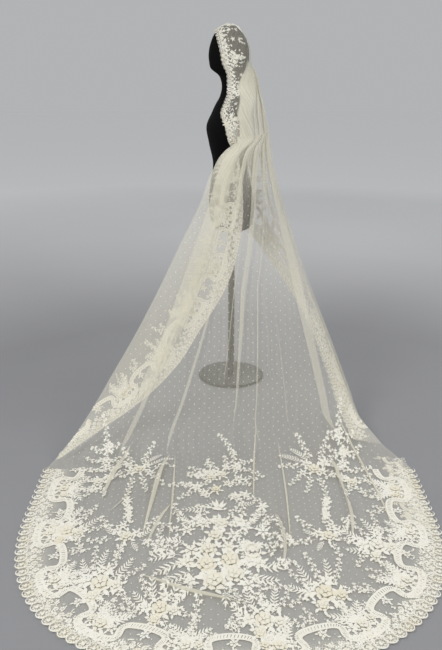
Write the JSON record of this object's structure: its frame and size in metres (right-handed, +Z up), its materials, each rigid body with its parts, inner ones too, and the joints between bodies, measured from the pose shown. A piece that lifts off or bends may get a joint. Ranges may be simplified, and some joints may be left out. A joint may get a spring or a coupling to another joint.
{
  "type": "mantilla veil on a dress form",
  "caption": "Long net and lace mantilla veil worn over the head of a limbless black dress form on a pole and round foot, with its train spread on the floor.",
  "frame": {"origin": "centre of the underside of the stand's round foot, on the floor", "axes": "+Z up, +Y from the train's end towards the form, -X the way the form faces"},
  "size_m": [1.524, 2.3915, 1.7544],
  "materials": {
    "net": "matt ecru cotton net",
    "lace": "matt ivory applied lace",
    "form": "matt black",
    "stand": "satin black powder coat"
  },
  "bodies": {
    "root": {"form-body": "form", "stand-base": "stand", "stand-pole": "stand", "net-hood": "net", "net-fall": "net", "net-near-flap": "net", "net-far-flap": "net", "net-train": "net", "lace-brow": "lace", "lace-near-edge": "lace", "lace-far-edge": "lace", "lace-turn-under": "lace", "lace-hem-near": "lace", "lace-hem-back": "lace", "lace-hem-far": "lace", "spray-back": "lace", "spray-near": "lace", "spray-far": "lace"}
  },
  "joints": []
}
